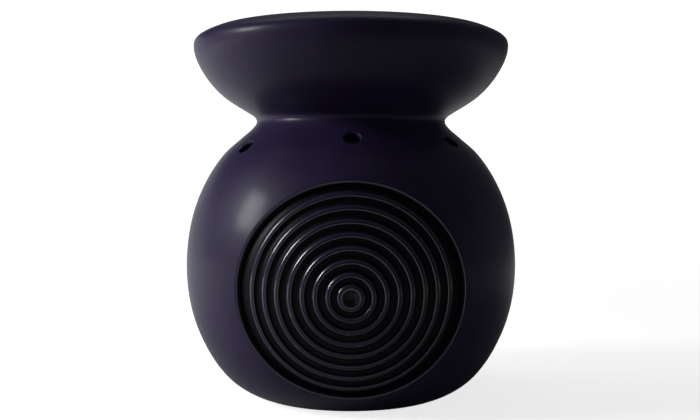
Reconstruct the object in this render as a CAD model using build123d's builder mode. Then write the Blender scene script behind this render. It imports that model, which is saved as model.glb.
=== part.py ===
from build123d import *
from math import asin, cos, radians, sin, sqrt
import os

os.makedirs("parts", exist_ok=True)

# Essential oil burner of glazed ceramic: a round chamber for a tealight, with a bowl for
# water and oil on its neck. Millimetres, Z up, on a surface at Z = 0, the front faces -Y.

# Whole burner
overall_height = 121.5
bowl_height = 30.5
neck_height = overall_height - bowl_height

# Chamber, measured on the outside
foot_radius = 31.0
belly_radius = 55.0
belly_height = 43.0
neck_radius = 31.6
wall = 4.5
floor_thickness = 5.0
foot_ring_width = 4.2
foot_recess = 1.5

# Bowl
rim_radius = 52.3
bowl_wall = 4.5
bowl_floor_thickness = 4.5
underside_drop = 4.0
seat_clearance = 0.5

# Lip of the bowl, turned in: it bends round a soft edge and rises to a round end
lip_height = 5.9
lip_edge_inset = 0.8
lip_edge_rise = 2.25
lip_width = 9.8
lip_hollow_drop = 2.6

# Door in the back, through which the tealight goes in
door_width = 48.0
door_height = 51.0
door_corner_round = 4.0
door_edge_round = 1.0

# Vent holes round the shoulder, square to its surface
vent_count = 6
vent_diameter = 5.1
vent_edge_round = 0.5

# Ripple disc in the front: its gaps to the foot and the neck give its height
disc_foot_gap = 5.7
disc_neck_gap = 20.7
disc_half_width = 33.6
disc_lean = -5
disc_sink = 0.6
dome_ease = 1.0
border_channel = 1.9
ridge_pitch = 3.76
ridge_width = 2.3
crest_width = 1.3
first_ridge_radius = 2.9
groove_depth = 1.1
dimple_depth = 0.8
disc_edge_round = 0.5

# Aluminium cup of the tealight
cup_base_radius = 18.3
cup_top_radius = 18.9
cup_height = 16.0
foil = 0.3
cup_bead_radius = 0.6
cup_base_round = 1.2
cup_panel_radius = 14.0
cup_panel_rise = 0.7
tealight_gap = 0.3

# Wax, wick and the plate that holds the wick
wax_depth = 12.5
wax_clearance = 0.1
plate_radius = 6.0
plate_thickness = 0.3
collar_radius = 1.7
collar_height = 4.0
wick_radius = 1.0
wick_clearance = 0.05
wick_above_wax = 7.0
wick_tip_chamfer = 0.3

# How far a cutting form runs past what it cuts
overrun = 1.0

# Outlines as rows of shares and a lean: how far out the knot lies, from the foot, neck or
# axis to the widest place, how far up it lies on its stretch, and how many degrees the
# surface's normal leans above the horizontal there.
lower_shares = ((0.47, 0.166, -43), (0.827, 0.488, -23))
upper_shares = ((0.82, 0.479, 22), (0.47, 0.769, 40), (0.205, 0.888, 48), (0.056, 0.952, 42))
vent_shares = (0.265, 0.86, 46)
bowl_shares = ((0.068, 0.081, -57), (0.585, 0.374, -47), (0.857, 0.654, -31))
foot_lean = -72
lip_edge_lean = 43
lip_band_lean = 66
lip_band_share = 0.4
lip_rise_share = 0.6


# Knots (radius, height, lean) between two radii and two heights
def knots_between(start_radius, end_radius, start_height, end_height, shares):
    return [
        (
            start_radius + out * (end_radius - start_radius),
            start_height + up * (end_height - start_height),
            lean,
        )
        for out, up, lean in shares
    ]


# The same knots moved into the wall, square to the surface
def inset(knots, depth):
    return [
        (r - depth * cos(radians(lean)), z - depth * sin(radians(lean)), lean)
        for r, z, lean in knots
    ]


# Smooth curve through knots, from the lowest up
def knot_curve(knots):
    return Spline(
        [(r, z) for r, z, lean in knots],
        tangents=[(-sin(radians(lean)), cos(radians(lean))) for r, z, lean in knots],
    )


# Chamber outline, outside and inside

belly_knot = (belly_radius, belly_height, 0)
neck_knot = (neck_radius, neck_height, 0)
chamber_outside = [
    (foot_radius, 0, foot_lean),
    *knots_between(foot_radius, belly_radius, 0, belly_height, lower_shares),
    belly_knot,
    *knots_between(neck_radius, belly_radius, belly_height, neck_height, upper_shares),
    neck_knot,
]
chamber_inside = [
    (foot_radius, floor_thickness, foot_lean),
    *inset(chamber_outside[1:], wall),
]
foot_ring_inner = foot_radius - foot_ring_width

# Ripple disc: its axis is square to the belly, its ridges lie on a dome a little flatter
# than the belly, and the press is all the clay that its mould pushes away

disc_height = (disc_foot_gap + neck_height - disc_neck_gap) / 2
disc_half_height = (neck_height - disc_neck_gap - disc_foot_gap) / 2
dome_radius = belly_radius + dome_ease
disc_normal = Vector(0, -cos(radians(disc_lean)), sin(radians(disc_lean)))
disc_plane = Plane((0, -belly_radius, disc_height), x_dir=(1, 0, 0), z_dir=disc_normal)
profile_plane = Plane(disc_plane.origin, x_dir=(1, 0, 0), z_dir=-disc_plane.y_dir)
press_reach = disc_half_width + overrun
press_depth = disc_sink + groove_depth + dome_radius - sqrt(dome_radius**2 - press_reach**2)
ridge_room = min(disc_half_width, disc_half_height) - border_channel - ridge_width / 2
ridge_count = 1 + int((ridge_room - first_ridge_radius) / ridge_pitch)


# Point at a height above the dome of the ridge crests, at a distance from the disc's axis
def over_dome(distance, height):
    turn = asin(distance / dome_radius)
    reach = dome_radius + height
    return (reach * sin(turn), reach * cos(turn) - dome_radius - disc_sink)


# The ridges slope on both sides, so that the mould leaves them
def ridge_points(middle):
    return [
        over_dome(middle - ridge_width / 2, -groove_depth),
        over_dome(middle - crest_width / 2, 0),
        over_dome(middle + crest_width / 2, 0),
        over_dome(middle + ridge_width / 2, -groove_depth),
    ]


with BuildPart() as ripple_press:
    with BuildSketch(profile_plane):
        with BuildLine():
            ripples = [
                over_dome(0, -dimple_depth),
                over_dome(first_ridge_radius - crest_width, -dimple_depth),
                *ridge_points(first_ridge_radius)[1:],
            ]
            for ridge in range(1, ridge_count):
                ripples += ridge_points(first_ridge_radius + ridge * ridge_pitch)
            Polyline(
                *ripples,
                over_dome(press_reach, -groove_depth),
                (press_reach, overrun),
                (0, overrun),
                ripples[0],
            )
        make_face()
    revolve(axis=Axis(disc_plane.origin, disc_normal))
    with BuildSketch(disc_plane.offset(overrun)):
        Ellipse(disc_half_width, disc_half_height)
    extrude(amount=-(overrun + press_depth + overrun), mode=Mode.INTERSECT)

# Vents round the shoulder, square to its skin

[(vent_radius, vent_height, vent_lean)] = knots_between(
    neck_radius, belly_radius, belly_height, neck_height, [vent_shares]
)
vent_planes = []
for vent in range(vent_count):
    around = radians(-90 + 360 * vent / vent_count)
    outward = Vector(cos(around), sin(around))
    vent_planes.append(
        Plane(
            outward * vent_radius + Vector(0, 0, vent_height),
            x_dir=(sin(around), -cos(around), 0),
            z_dir=outward * cos(radians(vent_lean)) + Vector(0, 0, sin(radians(vent_lean))),
        )
    )


# Edges that the last cut left in the largest face, which is the chamber's outer skin, in the
# order in which that face holds them
def new_skin_edges(body):
    skin = body.faces().sort_by(SortBy.AREA)[-1]
    cut = body.edges(Select.LAST)
    return skin.edges().filter_by(lambda edge: edge in cut)


with BuildPart() as burner_body:
    with BuildSketch(Plane.XZ):
        with BuildLine():
            outside = knot_curve(chamber_outside)
            inside = knot_curve(chamber_inside)
            Line(outside @ 1, inside @ 1)
            Polyline(
                inside @ 0,
                (0, floor_thickness),
                (0, foot_recess),
                (foot_ring_inner, foot_recess),
                (foot_ring_inner, 0),
                outside @ 0,
            )
        make_face()
    revolve(axis=Axis.Z)
    add(ripple_press.part, mode=Mode.SUBTRACT)
    fillet(new_skin_edges(burner_body), disc_edge_round)
    with BuildSketch(Plane.XZ) as door:
        arch_radius = door_width / 2
        arch_height = floor_thickness + door_height - arch_radius
        with BuildLine():
            Polyline(
                (-arch_radius, arch_height),
                (-arch_radius, floor_thickness),
                (arch_radius, floor_thickness),
                (arch_radius, arch_height),
            )
            ThreePointArc(
                (arch_radius, arch_height),
                (0, arch_height + arch_radius),
                (-arch_radius, arch_height),
            )
        make_face()
        fillet(door.vertices().group_by(Axis.Y)[0], door_corner_round)
    extrude(amount=-(belly_radius + overrun), mode=Mode.SUBTRACT)
    fillet(new_skin_edges(burner_body), door_edge_round)
    with BuildSketch(*vent_planes):
        Circle(vent_diameter / 2)
    extrude(amount=wall + overrun, both=True, mode=Mode.SUBTRACT)
    fillet(new_skin_edges(burner_body), vent_edge_round)

burner_body.part.label = "burner_body"
export_step(burner_body.part, "parts/burner_body.step")

# Bowl, its underside hanging a little into the neck that it closes

rim_side_height = overall_height - lip_height
bowl_flank = knots_between(neck_radius, rim_radius, neck_height, rim_side_height, bowl_shares)
lip_edge = (rim_radius - lip_edge_inset, rim_side_height + lip_edge_rise, lip_edge_lean)
lip_top = (rim_radius - lip_width, overall_height, 90)
lip_band = (
    lip_edge[0] + lip_band_share * (lip_top[0] - lip_edge[0]),
    lip_edge[1] + lip_rise_share * (lip_top[1] - lip_edge[1]),
    lip_band_lean,
)
bowl_outside = [neck_knot, *bowl_flank, (rim_radius, rim_side_height, 0), lip_edge, lip_band, lip_top]
underside_height = neck_height - underside_drop
bowl_inside = [
    (0, underside_height + bowl_floor_thickness, -90),
    *inset(bowl_flank[1:], bowl_wall),
    (rim_radius - bowl_wall, rim_side_height - lip_hollow_drop, 0),
    *inset([lip_band, lip_top], bowl_wall),
]

with BuildPart() as oil_bowl:
    with BuildSketch(Plane.XZ):
        with BuildLine():
            flank = knot_curve(bowl_outside)
            hollow = knot_curve(bowl_inside)
            seat_edge = (neck_radius - wall - seat_clearance, neck_height)
            lip_end = (lip_top[0] - bowl_wall / 2, overall_height - bowl_wall / 2)
            ThreePointArc(flank @ 1, lip_end, hollow @ 1)
            Line(hollow @ 0, (0, underside_height))
            TangentArc((0, underside_height), seat_edge, tangent=(1, 0))
            Line(seat_edge, flank @ 0)
        make_face()
    revolve(axis=Axis.Z)

oil_bowl.part.label = "oil_bowl"
export_step(oil_bowl.part, "parts/oil_bowl.step")

# Tealight: drawn cup with a beaded edge and a raised panel in its base

cup_bottom = floor_thickness + tealight_gap
cup_top = cup_bottom + cup_height
bead_height = cup_top - cup_bead_radius
panel_top = cup_bottom + cup_panel_rise + foil

with BuildPart() as tealight_cup:
    with BuildSketch(Plane.XZ) as cup_section:
        with BuildLine():
            Polyline(
                (0, cup_bottom + cup_panel_rise),
                (cup_panel_radius - cup_panel_rise, cup_bottom + cup_panel_rise),
                (cup_panel_radius, cup_bottom),
                (cup_base_radius, cup_bottom),
                (cup_top_radius, bead_height),
                (cup_top_radius - foil, bead_height),
                (cup_base_radius - foil, cup_bottom + foil),
                (cup_panel_radius, cup_bottom + foil),
                (cup_panel_radius - cup_panel_rise, panel_top),
                (0, panel_top),
                (0, cup_bottom + cup_panel_rise),
            )
        make_face()
        base_corners = cup_section.vertices().filter_by(
            lambda corner: corner.X > cup_panel_radius + foil
            and corner.Y < cup_bottom + cup_panel_rise
        )
        inner_corner = base_corners.sort_by(Axis.X)[0]
        outer_corner = base_corners.sort_by(Axis.X)[-1]
        fillet(outer_corner, cup_base_round)
        fillet(inner_corner, cup_base_round - foil)
        with Locations((cup_top_radius, bead_height)):
            Circle(cup_bead_radius)
    revolve(axis=Axis.Z)

tealight_cup.part.label = "tealight_cup"
export_step(tealight_cup.part, "parts/tealight_cup.step")

# Plate in the cup that holds the wick in its collar

plate_top = panel_top + plate_thickness
collar_top = plate_top + collar_height

with BuildPart() as wick_sustainer:
    with BuildSketch(Plane.XY.offset(panel_top)):
        Circle(plate_radius)
    extrude(amount=plate_thickness)
    with BuildSketch(Plane.XY.offset(plate_top)):
        Circle(collar_radius)
        Circle(wick_radius + wick_clearance, mode=Mode.SUBTRACT)
    extrude(amount=collar_height)

wick_sustainer.part.label = "wick_sustainer"
export_step(wick_sustainer.part, "parts/wick_sustainer.step")

# Wax, cast round the plate, its collar and the wick

wax_top = panel_top + wax_depth
wax_shoulder = panel_top + cup_base_round


# Inside radius of the cup's wall at a height
def cup_inner_radius(height):
    share = (height - cup_bottom) / (bead_height - cup_bottom)
    return cup_base_radius + share * (cup_top_radius - cup_base_radius) - foil


with BuildPart() as tealight_wax:
    with BuildSketch(Plane.XZ) as wax_section:
        with BuildLine():
            Polyline(
                (plate_radius + wax_clearance, panel_top),
                (cup_inner_radius(panel_top) - cup_base_round, panel_top),
                (cup_inner_radius(wax_shoulder) - wax_clearance, wax_shoulder),
                (cup_inner_radius(wax_top) - wax_clearance, wax_top),
                (wick_radius + wax_clearance, wax_top),
                (wick_radius + wax_clearance, collar_top + wax_clearance),
                (collar_radius + wax_clearance, collar_top + wax_clearance),
                (collar_radius + wax_clearance, plate_top + wax_clearance),
                (plate_radius + wax_clearance, plate_top + wax_clearance),
                (plate_radius + wax_clearance, panel_top),
            )
        make_face()
    revolve(axis=Axis.Z)

tealight_wax.part.label = "tealight_wax"
export_step(tealight_wax.part, "parts/tealight_wax.step")

# Wick, from the plate up through the wax

with BuildPart() as wick:
    with BuildSketch(Plane.XY.offset(plate_top)):
        Circle(wick_radius)
    extrude(amount=wax_top + wick_above_wax - plate_top)
    chamfer(wick.edges().group_by(Axis.Z)[-1], wick_tip_chamfer)

wick.part.label = "wick"
export_step(wick.part, "parts/wick.step")
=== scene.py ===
from math import acos, cos, hypot, pi, radians, sin, tan

import bmesh
import bpy
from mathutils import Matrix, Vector
from mathutils.geometry import interpolate_bezier


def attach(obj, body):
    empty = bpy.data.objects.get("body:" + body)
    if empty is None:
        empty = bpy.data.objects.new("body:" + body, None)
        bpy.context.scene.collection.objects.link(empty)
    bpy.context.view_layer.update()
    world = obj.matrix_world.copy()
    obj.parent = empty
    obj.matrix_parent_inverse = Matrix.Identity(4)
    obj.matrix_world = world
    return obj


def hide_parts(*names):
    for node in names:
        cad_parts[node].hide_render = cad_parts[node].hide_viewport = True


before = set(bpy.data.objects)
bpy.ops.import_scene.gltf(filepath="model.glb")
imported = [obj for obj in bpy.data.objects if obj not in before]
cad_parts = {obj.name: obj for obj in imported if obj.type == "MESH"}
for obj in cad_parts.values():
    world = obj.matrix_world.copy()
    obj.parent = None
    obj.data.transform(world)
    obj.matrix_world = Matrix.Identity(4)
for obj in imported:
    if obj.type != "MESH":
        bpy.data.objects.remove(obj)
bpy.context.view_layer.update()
mm = 0.001
right, up = Vector((1, 0, 0)), Vector((0, 0, 1))


# Outlines: rows of radius, height and lean, in mm and degrees. The lean is how far the
# surface's normal rises above the horizontal there.

def curveThrough(knots, steps):
    points = []
    for (r0, z0, lean0), (r1, z1, lean1) in zip(knots, knots[1:]):
        start, end = Vector((r0, 0, z0)) * mm, Vector((r1, 0, z1)) * mm
        reach = (end - start).length / 3
        leave = start + reach * Vector((-sin(radians(lean0)), 0, cos(radians(lean0))))
        arrive = end - reach * Vector((-sin(radians(lean1)), 0, cos(radians(lean1))))
        points += interpolate_bezier(start, leave, arrive, end, steps + 1)[:-1]
    return points + [end]


def moved(knots, depth):  # the knots carried into the wall, square to the surface
    return [
        (r - depth * cos(radians(lean)), z - depth * sin(radians(lean)), lean)
        for r, z, lean in knots
    ]


def rounded(corners, segments=4):  # rows of radius, height and rounding, in mm
    bm = bmesh.new()
    points = [bm.verts.new((r * mm, 0, z * mm)) for r, z, size in corners]
    for pair in zip(points, points[1:]):
        bm.edges.new(pair)
    for point, (r, z, size) in zip(points, corners):
        if size:
            bmesh.ops.bevel(
                bm, geom=[point], offset=size * mm, offset_type="OFFSET", affect="VERTICES",
                segments=segments, profile=0.5, material=-1,
            )
    chain = [points[0]]
    while len(chain) < len(bm.verts):
        beside = [edge.other_vert(chain[-1]) for edge in chain[-1].link_edges]
        chain += [vert for vert in beside if vert not in chain][:1]
    section = [vert.co.copy() for vert in chain]
    bm.free()
    return section


def spun(section, steps):
    bm = bmesh.new()
    points = [bm.verts.new(point) for point in section]
    edges = [bm.edges.new(pair) for pair in zip(points, points[1:])]
    bmesh.ops.spin(bm, geom=points + edges, axis=up, angle=2 * pi, steps=steps, use_merge=True)
    bmesh.ops.remove_doubles(bm, verts=bm.verts, dist=1e-7)  # closes the poles
    bmesh.ops.recalc_face_normals(bm, faces=bm.faces)
    return bm


def piece(name, bm, body=None, *finishes, smooth=True):
    mesh = bpy.data.meshes.new(name)
    for face in bm.faces:
        face.smooth = smooth
    bm.to_mesh(mesh)
    bm.free()
    made = bpy.data.objects.new(name, mesh)
    bpy.context.scene.collection.objects.link(made)
    for finish in finishes:
        mesh.materials.append(finish)
    if body:
        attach(made, body)
    return made


# Shader nodes

class Wire:
    def __init__(self, finish, socket):
        self.finish, self.socket = finish, socket

    def __add__(self, other):
        return self.finish.maths("ADD", self, other)

    def __sub__(self, other):
        return self.finish.maths("SUBTRACT", self, other)

    def __rsub__(self, other):
        return self.finish.maths("SUBTRACT", other, self)

    def __mul__(self, other):
        return self.finish.maths("MULTIPLY", self, other)

    def __abs__(self):
        return self.finish.maths("ABSOLUTE", self)

    def clipped(self, low, high):  # 0 at low, 1 at high
        return self.finish.wire(
            "ShaderNodeMapRange", {"interpolation_type": "SMOOTHSTEP"},
            {"Value": self, "From Min": low, "From Max": high},
        )

    __radd__, __rmul__ = __add__, __mul__


class Finish:
    def __init__(self, name, shelf=bpy.data.materials):
        self.owner = shelf.new(name)  # a material, or the world
        self.owner.use_nodes = True
        self.tree = self.owner.node_tree
        self.tree.nodes.clear()

    def node(self, kind, settings, sockets):
        made = self.tree.nodes.new(kind)
        for name, value in settings.items():
            setattr(made, name, value)
        for name, value in sockets.items():
            if isinstance(value, Wire):
                self.tree.links.new(value.socket, made.inputs[name])
            else:
                made.inputs[name].default_value = value
        return made

    def wires(self, kind, settings, sockets, *outs):  # several outputs of one node
        made = self.node(kind, settings, sockets)
        return [Wire(self, made.outputs[out]) for out in outs]

    def wire(self, kind, settings, sockets, out=0):
        return self.wires(kind, settings, sockets, out)[0]

    def place(self):
        return self.wire("ShaderNodeTexCoord", {}, {}, "Object")

    def noise(self, place, size, detail, rough=0.5):  # size in mm
        return self.wire(
            "ShaderNodeTexNoise", {},
            {"Vector": place, "Scale": 1 / (size * mm), "Detail": detail, "Roughness": rough},
            "Fac",
        )

    def maths(self, operation, *values):
        return self.wire("ShaderNodeMath", {"operation": operation}, dict(enumerate(values)))

    def vector(self, operation, *values, out="Vector"):
        return self.wire(
            "ShaderNodeVectorMath", {"operation": operation}, dict(enumerate(values)), out
        )

    def blended(self, share, first, second):
        return self.wire(
            "ShaderNodeMix", {"data_type": "RGBA"}, {0: share, 6: first, 7: second}, 2
        )

    def bump(self, height, relief):  # relief in mm
        return self.wire("ShaderNodeBump", {}, {"Height": height, "Distance": relief * mm})

    def rays(self):  # seen by the camera itself, and seen in or through the object
        direct, glossy, through = self.wires(
            "ShaderNodeLightPath", {}, {},
            "Is Camera Ray", "Is Glossy Ray", "Is Transmission Ray",
        )
        return direct, glossy + through

    def shade(self, **sockets):
        names = {name.replace("_", " "): value for name, value in sockets.items()}
        return self.closed(self.wire("ShaderNodeBsdfPrincipled", {}, names))

    def closed(self, shader, output="ShaderNodeOutputMaterial"):
        self.node(output, {}, {"Surface": shader})
        return self.owner


# Ripple disc: its press is cut into the chamber's front, and painted highlights and painted shade
# follow its ridges

disc = {
    "middle": (0, -55, 38.0),
    "halfWidth": 33.6,
    "halfHeight": 32.3,
    "lean": -5,
    "edge": 0.75,
    "wall": [(0.0, 1.25), (0.06, 1.5), (0.25, 1.66), (0.6, 1.7)],  # inset and depth
    "sink": 0.6,
    "groove": 1.7,
    "pitch": 3.76,
    "firstRidge": 2.9,
    "firstSwell": 0.4,
    "ridges": 8,
    "ridgeSection": [  # from the ridge's middle outwards, and the share of its height cut away
        (-1.15, 1.0), (-1.04, 0.93), (-0.95, 0.76), (-0.85, 0.52), (-0.73, 0.32), (-0.59, 0.18),
        (-0.43, 0.075), (-0.27, 0.01), (0.0, -0.02), (0.27, 0.01), (0.43, 0.075), (0.59, 0.18),
        (0.73, 0.32), (0.85, 0.52), (0.95, 0.76), (1.04, 0.93), (1.15, 1.0),
    ],
    "dimple": [  # from the disc's middle outwards, and the dip below the ridges
        (0.5, 1.05), (1.0, 0.94), (1.5, 0.71), (1.9, 0.44), (2.2, 0.22), (2.45, 0.08),
        (2.7, 0.02), (3.0, 0.0),
    ],
    "around": 160,
    "start": 2.0,
    "lift": 4.0,
}

# The disc's painted highlights and painted shade: where each begins and where it is full, in mm
ripples = {
    "depth": (18, 24),  # behind its face
    "dimple": (2.0, 2.4),  # from its middle
    "dry": (2.1, 2.5),
    "swell": (3.6, 5.6),
    "channel": (0.9, 1.1),  # past its last ridge
    "lastLine": (1.3, 1.6),
    "valley": (0.84, 1.05),  # from the nearest ridge
    "line": 0.52,
    "lineFade": (0.12, 0.34),
    "outerSide": (0, 0.3),
    "outerFade": 0.35,  # the share of a line that is lost there
    "rimHighlight": 1.008,  # from here on in shares of its radius
    "rimFade": (0.004, 0.014),
    "shadeMask": (0.985, 1.0),
    "discShade": (0.97, 1.0),
    "plainFrom": (1.02, 1.03),
    "plainTo": (1.3, 1.4),
}


def past(wire, tone, start=0):  # 0 before the tone begins, 1 where it is full
    low, high = ripples[tone]
    return wire.clipped((start + low) * mm, (start + high) * mm)


# Painted highlights run along the ridges' shoulders and the disc's rim; painted shade fills the
# grooves and darkens the whole disc
def rippleTones(finish, place):
    lean = radians(disc["lean"])
    way = (0, cos(lean), -sin(lean))
    aside = finish.vector("SUBTRACT", place, [side * mm for side in disc["middle"]])
    flat = finish.vector("SUBTRACT", aside, finish.vector("PROJECT", aside, way))
    reach = finish.vector("LENGTH", flat, out="Value")
    size = (disc["halfWidth"] * mm, 1, disc["halfHeight"] * mm)
    border = finish.vector("LENGTH", finish.vector("DIVIDE", flat, size), out="Value")
    near = 1 - past(finish.vector("DOT_PRODUCT", aside, way, out="Value"), "depth")

    last = disc["firstRidge"] + (disc["ridges"] - 1) * disc["pitch"]
    half = disc["pitch"] / 2 * mm
    swell = disc["firstSwell"] * mm * (1 - past(reach, "swell"))
    pastRidge = finish.maths("WRAP", reach - disc["firstRidge"] * mm - swell, half, -half)
    fromRidge = abs(pastRidge)

    ringed = near * (1 - past(reach, "lastLine", last)) * past(reach, "dimple")
    # Painted highlight lines along each ridge's shoulders, weaker on the outer side
    highlightLines = ringed * (1 - past(abs(fromRidge - ripples["line"] * mm), "lineFade"))
    highlightLines = highlightLines * (1 - past(pastRidge, "outerSide") * ripples["outerFade"])
    # A painted highlight along the disc's rim
    rimHighlight = near * (1 - abs(border - ripples["rimHighlight"]).clipped(*ripples["rimFade"]))
    # Painted shade in the grooves and in the channel past the last ridge
    within = 1 - border.clipped(*ripples["shadeMask"])
    shadeMask = near * within * past(fromRidge, "valley")
    shadeMask = shadeMask + near * past(reach, "channel", last) * within
    grooveShade = finish.maths("MINIMUM", shadeMask, 1)
    # Painted shade over the whole disc
    discShade = near * (1 - border.clipped(*ripples["discShade"]))
    dry = grooveShade * past(reach, "dry")
    plain = near * border.clipped(*ripples["plainFrom"])
    plain = plain * (1 - border.clipped(*ripples["plainTo"]))
    return highlightLines, rimHighlight, grooveShade, discShade, dry, plain


# Finishes

glaze = {
    "colour": (0.0125, 0.0080, 0.029, 1),
    "cloudColour": (0.018, 0.0120, 0.039, 1),
    # The paler tone where the glaze breaks thin over sharp edges, also used for the painted
    # highlights on the disc
    "breakAndHighlightColour": (0.070, 0.058, 0.092, 1),
    # The painted shade colour, for concave corners, the whole disc and its grooves
    "paintedShadeColour": (0.0015, 0.0010, 0.003, 1),
    "roughness": 0.46,
    "roughnessInside": 0.55,
    "specular": 0.12,
    "coat": 0.065,
    "coatRoughness": 0.2,
    "coatIndex": 1.7,
    "cloud": 18,  # the marks' sizes in mm
    "peel": 1.1,
    "grain": 0.22,
    "pitSpacing": 4,
    "relief": 0.012,
    "peelRelief": 0.6,
    "grainRelief": 0.12,
    "cloudFrom": (0.35, 0.75),
    "pitEdge": (0.03, 0.09),
    "thin": (0.53, 0.62),  # over sharp edges, where Pointiness is above 0.5
    "shadeMask": (0.40, 0.49),  # and in corners, where it is below
    # How far each mask moves the colour: the edge tone is glaze break and painted highlight, the
    # disc, line and rim tones are painted shade and painted highlights
    "thinAndHighlightTone": 0.8,
    "discShadeTone": 0.35,
    "lineHighlightTone": 0.05,
    "rimHighlightTone": 0.4,
    "cloudCoat": 0.04,
    "thinCoat": 0.3,
    "lineCoat": 0.9,
    "rippleCoat": 0.08,
    "cloudRough": 0.10,
    "thinRough": 0.04,
    "poolRough": 0.05,
}

bareFoot = {
    "clay": ((0.62, 0.50, 0.40, 1), (0.48, 0.37, 0.29, 1)),
    "grain": 0.6,
    "rough": 0.5,
    "wipedTo": (0.12, 0.34),
    "waver": 0.2,
}


def blackGlaze(name, roughness, outer):
    finish = Finish(name)
    place = finish.place()
    cloud = finish.noise(place, glaze["cloud"], detail=3)
    orangePeel = finish.noise(place, glaze["peel"], detail=2)
    grain = finish.noise(place, glaze["grain"], detail=1)
    spread = {"Vector": place, "Scale": 1 / (glaze["pitSpacing"] * mm)}
    pits = finish.wire("ShaderNodeTexVoronoi", {"feature": "F1"}, spread, "Distance")
    pinhole = 1 - pits.clipped(*glaze["pitEdge"])
    edge = finish.wire("ShaderNodeNewGeometry", {}, {}, "Pointiness")
    thin = edge.clipped(*glaze["thin"])
    # Painted shade darkens concave corners, where the glaze also pools glossier
    shadeMask = 1 - edge.clipped(*glaze["shadeMask"])
    uneven = cloud - 0.5
    coat = glaze["coat"] + uneven * glaze["cloudCoat"] + thin * glaze["thinCoat"]
    clouded = cloud.clipped(*glaze["cloudFrom"])
    colour = finish.blended(clouded, glaze["colour"], glaze["cloudColour"])
    if outer:
        highlightLines, rimHighlight, grooveShade, discShade, dry, plain = rippleTones(finish, place)
        thin = thin * (1 - plain)
    # Sharp edges turn paler: glaze break, and painted highlight
    colour = finish.blended(thin * glaze["thinAndHighlightTone"], colour, glaze["breakAndHighlightColour"])
    # Painted shade in concave corners
    colour = finish.blended(shadeMask, colour, glaze["paintedShadeColour"])
    if outer:
        # Painted highlights along the ridges and the rim, painted shade over the disc and in its
        # grooves
        paintedHighlights = (highlightLines * glaze["lineHighlightTone"] + rimHighlight * glaze["rimHighlightTone"]) * (0.5 + cloud)
        colour = finish.blended(discShade * glaze["discShadeTone"], colour, glaze["paintedShadeColour"])
        colour = finish.blended(paintedHighlights, colour, glaze["breakAndHighlightColour"])
        colour = finish.blended(grooveShade, colour, glaze["paintedShadeColour"])
        coat = coat + (highlightLines + rimHighlight) * glaze["lineCoat"] + discShade * glaze["rippleCoat"]
        coat = coat * (1 - dry)
        thin = thin * (1 - grooveShade)
    rough = roughness + uneven * glaze["cloudRough"] + thin * glaze["thinRough"]
    rough = rough - shadeMask * glaze["poolRough"]
    height = orangePeel * glaze["peelRelief"] + grain * glaze["grainRelief"] - pinhole
    if outer:  # the foot is wiped clean before firing
        level = finish.wire("ShaderNodeSeparateXYZ", {}, {"Vector": place}, "Z")
        low, high = bareFoot["wipedTo"]
        wiped = 1 - (level + uneven * (bareFoot["waver"] * mm)).clipped(low * mm, high * mm)
        dust = finish.noise(place, bareFoot["grain"], detail=4)
        colour = finish.blended(wiped, colour, finish.blended(dust, *bareFoot["clay"]))
        rough = rough + wiped * bareFoot["rough"]
        height = height + wiped * dust
    return finish.shade(
        Base_Color=colour, Roughness=rough, Normal=finish.bump(height, glaze["relief"]),
        Specular_IOR_Level=glaze["specular"], Coat_Weight=coat,
        Coat_Roughness=glaze["coatRoughness"], Coat_IOR=glaze["coatIndex"],
    )


aluminium = {
    "tones": ((0.70, 0.71, 0.72, 1), (0.86, 0.87, 0.88, 1)),
    "streak": 30,
    "stretch": (1, 1, 0.02),
    "dent": 4,
    "rough": 0.24,
    "roughSpread": 0.14,
    "streakRelief": 0.3,
    "relief": 0.05,
}


def drawnAluminium():
    finish = Finish("drawnAluminium")
    place = finish.place()
    stretched = finish.wire(
        "ShaderNodeMapping", {"vector_type": "TEXTURE"},
        {"Vector": place, "Scale": aluminium["stretch"]},
    )
    drawn = finish.noise(stretched, aluminium["streak"], detail=4, rough=0.7)
    dents = finish.noise(place, aluminium["dent"], detail=2)
    height = drawn * aluminium["streakRelief"] + dents
    return finish.shade(
        Base_Color=finish.blended(drawn, *aluminium["tones"]), Metallic=1.0,
        Roughness=aluminium["rough"] + drawn * aluminium["roughSpread"],
        Normal=finish.bump(height, aluminium["relief"]),
    )


paraffin = {
    "tones": ((0.80, 0.78, 0.72, 1), (0.90, 0.88, 0.83, 1)),
    "frost": 2.5,
    "rough": 0.38,
    "roughSpread": 0.2,
    "relief": 0.05,
    "glow": 0.35,
    "glowReach": (4, 3, 2),
}


def paraffinWax():
    finish = Finish("paraffin")
    frost = finish.noise(finish.place(), paraffin["frost"], detail=4, rough=0.6)
    return finish.shade(
        Base_Color=finish.blended(frost, *paraffin["tones"]),
        Roughness=paraffin["rough"] + frost * paraffin["roughSpread"],
        Subsurface_Weight=paraffin["glow"], Subsurface_Scale=1.0,
        Subsurface_Radius=[reach * mm for reach in paraffin["glowReach"]],
        Normal=finish.bump(frost, paraffin["relief"]),
    )


tin = {
    "colour": (0.55, 0.55, 0.56, 1),
    "brush": 0.8,
    "rough": 0.3,
    "roughSpread": 0.15,
    "relief": 0.02,
}


def tinplate():
    finish = Finish("tinplate")
    brushed = finish.noise(finish.place(), tin["brush"], detail=3)
    return finish.shade(
        Base_Color=tin["colour"], Metallic=1.0,
        Roughness=tin["rough"] + brushed * tin["roughSpread"],
        Normal=finish.bump(brushed, tin["relief"]),
    )


cotton = {
    "tones": ((0.78, 0.74, 0.64, 1), (0.90, 0.88, 0.80, 1)),
    "fibre": 0.2,
    "rough": 0.62,
    "roughSpread": 0.15,
    "relief": 0.06,
    "sheen": 0.3,
}


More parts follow.
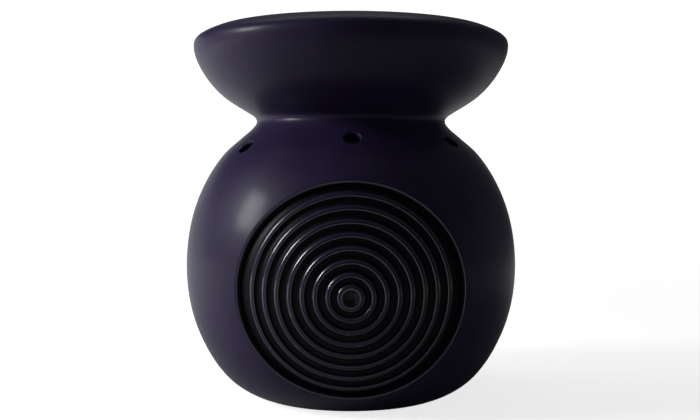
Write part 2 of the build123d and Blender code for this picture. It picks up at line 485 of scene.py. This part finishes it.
def waxedCotton():
    finish = Finish("waxedCotton")
    fibre = finish.noise(finish.place(), cotton["fibre"], detail=3)
    return finish.shade(
        Base_Color=finish.blended(fibre, *cotton["tones"]),
        Roughness=cotton["rough"] + fibre * cotton["roughSpread"], Sheen_Weight=cotton["sheen"],
        Normal=finish.bump(fibre, cotton["relief"]),
    )


glazed = blackGlaze("blackGlaze", glaze["roughness"], True)
glazedInside = blackGlaze("blackGlazeInside", glaze["roughnessInside"], False)
print("finishes made")


# Chamber: its wall is spun, then the disc's press, the door and the vents are cut from it

chamber = {
    "outline": [
        (31.0, 0.0, -72), (42.3, 7.1, -43), (50.8, 21.0, -23), (55.0, 43.0, 0),
        (50.8, 66.0, 22), (42.6, 79.9, 40), (36.4, 85.6, 48), (32.9, 88.7, 42), (31.6, 91.0, 0),
    ],
    "foot": [(0, 1.5, 0), (26.8, 1.5, 1.0), (26.8, 0, 0.5), (31.0, 0, 0.5), (32.6, 0.55, 0)],
    "footTop": 0.75,
    "wall": 4.5,
    "floor": 5.0,
    "floorRadius": 31.0,
    "floorCorner": 1.6,
    "outsideSteps": 9,
    "insideSteps": 6,
    "around": 240,
    "merged": 0.012,
    "skinFrom": 1.2,  # above it the skin's points take their normals from the outline
    "sharp": 0.72,  # cosine of the turn from which an edge stays sharp
    "insideFrom": 2.5,
    "insideDepth": 2.6,
}
outside = curveThrough(chamber["outline"], chamber["outsideSteps"])
inside = curveThrough(
    [(chamber["floorRadius"], chamber["floor"], chamber["outline"][0][2])]
    + moved(chamber["outline"][1:], chamber["wall"]),
    chamber["insideSteps"],
)


def chamberSection():
    base = rounded(chamber["foot"])[:-1]
    outer = [point for point in outside if point.z > chamber["footTop"] * mm]
    flat = Vector((chamber["floorRadius"] - chamber["floorCorner"], 0, chamber["floor"])) * mm
    middle = Vector((0, 0, chamber["floor"] * mm))
    return base + outer + list(reversed(inside[1:])) + [flat, middle]


def skinRadius(height):
    for low, high in zip(outside, outside[1:]):
        if height <= high.z:
            share = (height - low.z) / (high.z - low.z)
            return low.x + share * (high.x - low.x)
    return outside[-1].x


def skinNormal(point):
    step = 0.4 * mm
    slope = (skinRadius(point.z + step) - skinRadius(point.z - step)) / (2 * step)
    around = Vector((point.x, point.y, 0)).normalized()
    return (around - up * slope).normalized()


def ontoSkin(point, way):  # where a straight way from a point outside meets the skin
    near, far = 0.0, 60 * mm
    for _ in range(40):  # halves the way each time
        middle = (near + far) / 2
        spot = point + way * middle
        if hypot(spot.x, spot.y) > skinRadius(spot.z):
            near = middle
        else:
            far = middle
    return point + way * far


# Cutters: rings of points from outside the skin, over a soft edge and down the wall of a cut

cutters = {"clear": 0.5, "back": 2.0, "edgeShares": (0.2, 0.4, 0.6, 0.8)}


# The outline is drawn outside the skin, and the cutter begins a lift further out
def mouthRings(outline, start, across, along, way, rounding, lift):
    count = len(outline)
    sums = across * sum(u for u, v in outline) + along * sum(v for u, v in outline)
    middle = start + sums / count
    clear = cutters["clear"] * mm
    rows = []
    for index, (u, v) in enumerate(outline):
        before, after = outline[index - 1], outline[(index + 1) % count]
        tangent = across * (after[0] - before[0]) + along * (after[1] - before[1])
        outward = tangent.cross(way).normalized()
        flat = start + across * u + along * v
        if outward.dot(flat - middle) < 0:
            outward = -outward
        corner = ontoSkin(flat, way)
        normal = skinNormal(corner)
        aside = (outward - normal * outward.dot(normal)).normalized()
        reach = rounding / tan(acos(max(-1, min(1, aside.dot(way)))) / 2)
        top, foot = corner + aside * reach, corner + way * reach
        top = ontoSkin(top - way * cutters["back"] * mm, way)
        row = [flat + outward * (reach + clear) - way * lift]
        row += [top + aside * clear + normal * clear, top]
        for share in cutters["edgeShares"]:
            row.append(
                (1 - share) ** 2 * top + 2 * share * (1 - share) * corner + share**2 * foot
            )
        rows.append(row + [foot])
    return [list(ring) for ring in zip(*rows)]


def bridged(rings):
    bm = bmesh.new()
    loops = []
    for ring in rings:
        points = [bm.verts.new(point) for point in ring]
        loops.append([bm.edges.new((points[i - 1], points[i])) for i in range(len(points))])
    for first, second in zip(loops, loops[1:]):
        bmesh.ops.bridge_loops(bm, edges=first + second)
    for end in (loops[0], loops[-1]):
        bmesh.ops.edgeloop_fill(bm, edges=end)
    bmesh.ops.recalc_face_normals(bm, faces=bm.faces)
    return bm


def oval(halfWidth, halfHeight, count):  # its points lie half a step off the axes
    turns = [2 * pi * (step + 0.5) / count for step in range(count)]
    return [(halfWidth * cos(turn), halfHeight * sin(turn)) for turn in turns]


def discCutter():
    lean = radians(disc["lean"])
    way = Vector((0, cos(lean), -sin(lean)))
    along = right.cross(way)
    start = Vector(disc["middle"]) * mm - way * disc["start"] * mm
    halfWidth, halfHeight = disc["halfWidth"] * mm, disc["halfHeight"] * mm
    border = oval(halfWidth, halfHeight, disc["around"])
    edge, lift = disc["edge"] * mm, disc["lift"] * mm
    rings = mouthRings(border, start, right, along, way, edge, lift)

    def under(u, v, depth):
        spot = ontoSkin(start + right * u + along * v, way)
        return spot + way * (depth * mm / -skinNormal(spot).dot(way))

    for inset, depth in disc["wall"]:
        narrow, low = 1 - inset * mm / halfWidth, 1 - inset * mm / halfHeight
        rings.append([under(u * narrow, v * low, depth) for u, v in border])
    sink, height = disc["sink"], disc["groove"] - disc["sink"]
    section = [(reach, sink + dip) for reach, dip in disc["dimple"]]
    for ridge in range(disc["ridges"]):
        middle = disc["firstRidge"] + ridge * disc["pitch"] + (0 if ridge else disc["firstSwell"])
        for side, share in disc["ridgeSection"]:
            if ridge or side >= 0:  # the dimple leads up to the first ridge
                section.append((middle + side, sink + height * share))
    for reach, depth in reversed(section):
        ring = oval(reach * mm, reach * mm, disc["around"])
        rings.append([under(u, v, depth) for u, v in ring])
    return bridged(rings)


door = {
    "width": 48.0,
    "height": 51.0,
    "corner": 4.0,
    "edge": 1.0,
    "sill": 0.02,  # above the chamber's floor
    "inner": 13.0,  # its cutter's two ends, from the burner's axis
    "start": 58.0,
    "lift": 2.0,
    "archSteps": 60,
    "jambSteps": 15,
    "cornerSteps": 6,
    "sillSteps": 24,
}


def arc(x, z, radius, start, sweep, steps):
    turns = [start + sweep * step / steps for step in range(steps + 1)]
    return [(x + radius * cos(turn), z + radius * sin(turn)) for turn in turns]


def between(first, last, steps):  # without the two ends
    (x0, z0), (x1, z1) = first, last
    return [
        (x0 + (x1 - x0) * step / steps, z0 + (z1 - z0) * step / steps)
        for step in range(1, steps)
    ]


def doorOutline():
    half, corner = door["width"] / 2, door["corner"]
    sill = chamber["floor"] + door["sill"]
    springing = chamber["floor"] + door["height"] - half
    inset, foot = half - corner, sill + corner
    return (
        arc(0, springing, half, 0, pi, door["archSteps"])
        + between((-half, springing), (-half, foot), door["jambSteps"])
        + arc(-inset, foot, corner, pi, pi / 2, door["cornerSteps"])
        + between((-inset, sill), (inset, sill), door["sillSteps"])
        + arc(inset, foot, corner, -pi / 2, pi / 2, door["cornerSteps"])
        + between((half, foot), (half, springing), door["jambSteps"])
    )


def doorCutter():
    outline = [(x * mm, z * mm) for x, z in doorOutline()]
    start = Vector((0, door["start"] * mm, 0))
    way = Vector((0, -1, 0))
    rings = mouthRings(outline, start, right, up, way, door["edge"] * mm, door["lift"] * mm)
    rings.append([Vector((x, door["inner"] * mm, z)) for x, z in outline])
    return bridged(rings)


vents = {
    "diameter": 5.1,
    "lean": 46,
    "edge": 0.55,
    "through": 8.0,
    "punched": [  # turn and height, listed one by one, so no two are quite alike
        (0.7, 84.5), (55.0, 83.9), (120.6, 84.1), (179.4, 84.4), (239.5, 83.9), (305.0, 82.2),
    ],
    "around": 36,
    "start": 3.0,
    "lift": 1.0,
}


def ventCutters():
    made = []
    lean, radius = radians(vents["lean"]), vents["diameter"] / 2 * mm
    edge, lift = vents["edge"] * mm, vents["lift"] * mm
    for turn, height in vents["punched"]:
        around = radians(turn - 90)
        outward = Vector((cos(around), sin(around), 0))
        way = -(outward * cos(lean) + up * sin(lean))
        across = outward.cross(up)
        start = outward * skinRadius(height * mm) + up * height * mm - way * vents["start"] * mm
        outline = oval(radius, radius, vents["around"])
        rings = mouthRings(outline, start, across, across.cross(way), way, edge, lift)
        rings.append([point + way * vents["through"] * mm for point in rings[-1]])
        made.append(bridged(rings))
    return made


def cutWall():
    wall = piece("chamberWall", spun(chamberSection(), chamber["around"]))
    helpers = [piece("press", discCutter()), piece("doorCut", doorCutter())]
    helpers += [piece(f"ventCut{index}", bm) for index, bm in enumerate(ventCutters())]
    for helper in helpers:
        trim = wall.modifiers.new(helper.name, "BOOLEAN")
        trim.operation, trim.solver, trim.object = "DIFFERENCE", "EXACT", helper
    bm = bmesh.new()
    bm.from_object(wall, bpy.context.evaluated_depsgraph_get())
    for helper in [wall] + helpers:
        bpy.data.objects.remove(helper)
    bmesh.ops.remove_doubles(bm, verts=bm.verts, dist=chamber["merged"] * mm)
    openEdges = sum(not edge.is_manifold for edge in bm.edges)
    print("chamber cut", len(bm.faces), "open edges", openEdges)
    return bm


# The skin's normals come from its outline, so that the cuts leave no dents in the shine
def smoothSkin(mesh):
    leans, onSkin = [], set()
    for vertex in mesh.vertices:
        normal = vertex.normal.copy()
        off = abs(hypot(vertex.co.x, vertex.co.y) - skinRadius(vertex.co.z))
        if vertex.co.z > chamber["skinFrom"] * mm and off < chamber["merged"] * mm:
            normal = skinNormal(vertex.co)
            onSkin.add(vertex.index)
        leans.append(normal)
    corners = [up] * len(mesh.loops)
    for face in mesh.polygons:
        plain = onSkin.issuperset(face.vertices)
        for loop in face.loop_indices:
            normal = leans[mesh.loops[loop].vertex_index]
            soft = plain or normal.dot(face.normal) > chamber["sharp"]
            corners[loop] = normal if soft else face.normal.copy()
    mesh.normals_split_custom_set(corners)


def glazeInside(mesh):
    for face in mesh.polygons:
        reach, level = hypot(face.center.x, face.center.y), face.center.z
        deep = reach < skinRadius(max(level, 0)) - chamber["insideDepth"] * mm
        face.material_index = 1 if deep and level > chamber["insideFrom"] * mm else 0


shell = piece("chamber", cutWall(), "burner", glazed, glazedInside)
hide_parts("burner_body")
glazeInside(shell.data)
smoothSkin(shell.data)
print("chamber finished")


# Bowl

bowl = {
    "outline": [
        (31.6, 91.0, 0), (33.0, 93.0, -57), (43.7, 100.2, -47), (49.3, 107.1, -31),
        (52.3, 115.6, 0), (51.5, 117.85, 43), (47.9, 120.04, 66), (42.5, 121.5, 90),
    ],
    "hollow": [
        (0.0, 91.5, -90), (40.6, 103.5, -47), (45.5, 109.4, -31), (47.8, 113.0, 0),
        (46.1, 115.9, 66), (42.5, 117.0, 90),
    ],
    "underside": 87.0,
    "seatRadius": 26.6,
    "seatHeight": 91.0,
    "outlineSteps": 10,
    "hollowSteps": 9,
    "lipSteps": 12,
    "undersideSteps": 8,
    "around": 256,
}


def bowlSection():
    outer = curveThrough(bowl["outline"], bowl["outlineSteps"])
    hollow = curveThrough(bowl["hollow"], bowl["hollowSteps"])
    middle = (outer[-1] + hollow[-1]) / 2
    half = (outer[-1] - hollow[-1]).length / 2
    turns = [pi * step / bowl["lipSteps"] for step in range(1, bowl["lipSteps"])]
    lip = [middle + half * Vector((-sin(turn), 0, cos(turn))) for turn in turns]
    drop = bowl["seatHeight"] - bowl["underside"]  # the underside hangs into the neck
    under = []
    for step in range(bowl["undersideSteps"] + 1):
        share = step / bowl["undersideSteps"]
        height = bowl["underside"] + drop * share**2
        under.append(Vector((bowl["seatRadius"] * share, 0, height)) * mm)
    return under + outer + lip + list(reversed(hollow))


oilBowl = piece("oilBowl", spun(bowlSection(), bowl["around"]), "burner", glazed)
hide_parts("oil_bowl")
print("bowl made")


# Tealight: the CAD's own cup and plate stay, with new finishes

tealight = {
    "wax": [  # radius, height and rounding
        (6.1, 6.3, 0), (16.8, 6.3, 0), (18.3, 7.8, 0.4), (18.43, 18.8, 0.25),
        (17.1, 18.45, 0.9), (3.0, 18.345, 0.8), (1.12, 18.7, 0.3), (1.12, 11.0, 0),
    ],
    "waxAround": 96,
    "wickFoot": 6.7,
    "wickTop": 25.6,
    "wickSteps": 90,
    "strands": 3,
    "strandRadius": 0.5,
    "strandSides": 8,
    "spread": 0.45,
    "twists": 6,
    "bend": 0.864,
    "bendFrom": 0.6,  # the share of its height from which the wick leans
}

for node, finish in (("tealight_cup", drawnAluminium()), ("wick_sustainer", tinplate())):
    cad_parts[node].material_slots[0].material = finish

waxSection = rounded(tealight["wax"], segments=3)
waxPiece = piece("wax", spun(waxSection, tealight["waxAround"]), "tealight", paraffinWax())
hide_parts("tealight_wax")


def strandMiddle(strand, share):
    turn = 2 * pi * (strand / tealight["strands"] + share * tealight["twists"])
    bent = max(0, share - tealight["bendFrom"]) / (1 - tealight["bendFrom"])
    lean, spread = tealight["bend"] * mm * bent**2, tealight["spread"] * mm
    low, high = tealight["wickFoot"] * mm, tealight["wickTop"] * mm
    return Vector((spread * cos(turn) + lean, spread * sin(turn), low + share * (high - low)))


def wickStrands():
    bm = bmesh.new()
    sides, radius = tealight["strandSides"], tealight["strandRadius"] * mm
    steps = tealight["wickSteps"]
    for strand in range(tealight["strands"]):
        spots = [strandMiddle(strand, step / steps) for step in range(steps + 1)]
        end = bmesh.ops.create_circle(bm, segments=sides, radius=radius, cap_ends=True)["verts"]
        faces = list({face for vert in end for face in vert.link_faces})
        bmesh.ops.translate(bm, verts=end, vec=spots[0])
        for before, after in zip(spots, spots[1:]):
            grown = bmesh.ops.extrude_face_region(bm, geom=faces)["geom"]
            bmesh.ops.delete(bm, geom=faces, context="FACES_ONLY")
            faces = [part for part in grown if isinstance(part, bmesh.types.BMFace)]
            verts = [part for part in grown if isinstance(part, bmesh.types.BMVert)]
            bmesh.ops.translate(bm, verts=verts, vec=after - before)
    bmesh.ops.recalc_face_normals(bm, faces=bm.faces)
    return bm


wickPiece = piece("wickBraid", wickStrands(), "tealight", waxedCotton())
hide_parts("wick")
print("tealight made")


# Studio, in metres

studio = {
    "paper": (0.42, 0.42, 0.42, 1),
    "left": -3,
    "right": 0.8,
    "front": -2,
    "back": 1.6,
    "top": 0.6,
    "floorGlow": (0.78, 0.97),  # near the burner and far from it
    "backdropGlow": (1.0, 1.0),
    "glowMiddle": (0.10, 0, 0),
    "glowReach": (0.15, 0.9),
    "clearReach": (0.08, 0.32),
    "clearFront": (-0.28, 0.0),
    "clearRight": (0, 0.5),
    "clearFade": 0.75,
    "world": 0.07,
    "worldMirrored": 0.02,
}


def stagePaper(name, nearGlow, farGlow):
    finish = Finish(name)
    direct, mirrored = finish.rays()
    place = finish.place()
    x, y = finish.wires("ShaderNodeSeparateXYZ", {}, {"Vector": place}, "X", "Y")
    aside = finish.vector("SUBTRACT", place, studio["glowMiddle"])
    reach = finish.vector("LENGTH", aside, out="Value")
    far = reach.clipped(*studio["glowReach"])
    glow = finish.blended(far, (nearGlow,) * 3 + (1,), (farGlow,) * 3 + (1,))
    # The burner mirrors the paper only where its own shade doesn't fall
    clear = reach.clipped(*studio["clearReach"]) * y.clipped(*studio["clearFront"])
    clear = clear * (1 - x.clipped(*studio["clearRight"]) * studio["clearFade"])
    seen = direct + mirrored * clear
    paper = finish.wire("ShaderNodeBsdfDiffuse", {}, {"Color": studio["paper"]})
    shine = finish.wire("ShaderNodeEmission", {}, {"Color": glow, "Strength": seen})
    return finish.closed(finish.wire("ShaderNodeAddShader", {}, {0: paper, 1: shine}))


def stageSheet(name, low, high, finish):  # between two opposite corners
    bm = bmesh.new()
    corners = (low, (high[0], *low[1:]), high, (low[0], *high[1:]))
    bm.faces.new([bm.verts.new(corner) for corner in corners])
    sheet = piece(name, bm, None, finish, smooth=False)


stageSheet(
    "floor", (studio["left"], studio["front"], 0), (studio["right"], studio["back"], 0),
    stagePaper("floorPaper", *studio["floorGlow"]),
)
stageSheet(
    "backdrop", (studio["left"], studio["back"], 0),
    (studio["right"], studio["back"], studio["top"]),
    stagePaper("backdropPaper", *studio["backdropGlow"]),
)

air = Finish("air", bpy.data.worlds)
direct, mirrored = air.rays()
seen = direct * (1 - studio["world"]) + mirrored * studio["worldMirrored"]
light = {"Color": (1, 1, 1, 1), "Strength": seen + studio["world"]}
sky = air.wire("ShaderNodeBackground", {}, light)
bpy.context.scene.world = air.closed(sky, "ShaderNodeOutputWorld")

lamps = {
    "key": {"place": (-0.80, -0.17, 0.42), "size": (0.24, 0.30), "power": 6.0, "glossy": True},
    "side": {"place": (-0.88, 0.22, 0.14), "size": (0.60, 0.50), "power": 11.0, "glossy": False},
    "fill": {"place": (0.90, 0.15, 0.15), "size": (0.60, 0.50), "power": 1.3, "glossy": False},
    "top": {"place": (-0.10, 0.55, 0.95), "size": (0.8, 0.3), "power": 0.8, "glossy": True},
}
aim = Vector((0, 0, 0.07))

for name, spec in lamps.items():
    lamp = bpy.data.objects.new(name, bpy.data.lights.new(name, "AREA"))
    lamp.data.shape, lamp.data.energy = "RECTANGLE", spec["power"]
    lamp.data.size, lamp.data.size_y = spec["size"]
    lamp.location = spec["place"]
    lamp.visible_glossy = spec["glossy"]
    lamp.rotation_euler = (aim - lamp.location).to_track_quat("-Z", "Y").to_euler()
    bpy.context.scene.collection.objects.link(lamp)

view = {"place": (-0.0003, -0.338, 0.07496), "down": 2.32, "lens": 51.38, "sensor": 36}

camera = bpy.data.objects.new("camera", bpy.data.cameras.new("camera"))
camera.data.lens, camera.data.sensor_width = view["lens"], view["sensor"]
camera.data.clip_start = 0.01
camera.location = view["place"]
camera.rotation_euler = (radians(90 - view["down"]), 0, 0)
bpy.context.scene.collection.objects.link(camera)
bpy.context.scene.camera = camera
bpy.context.scene.view_settings.view_transform = "Standard"
print("studio set")
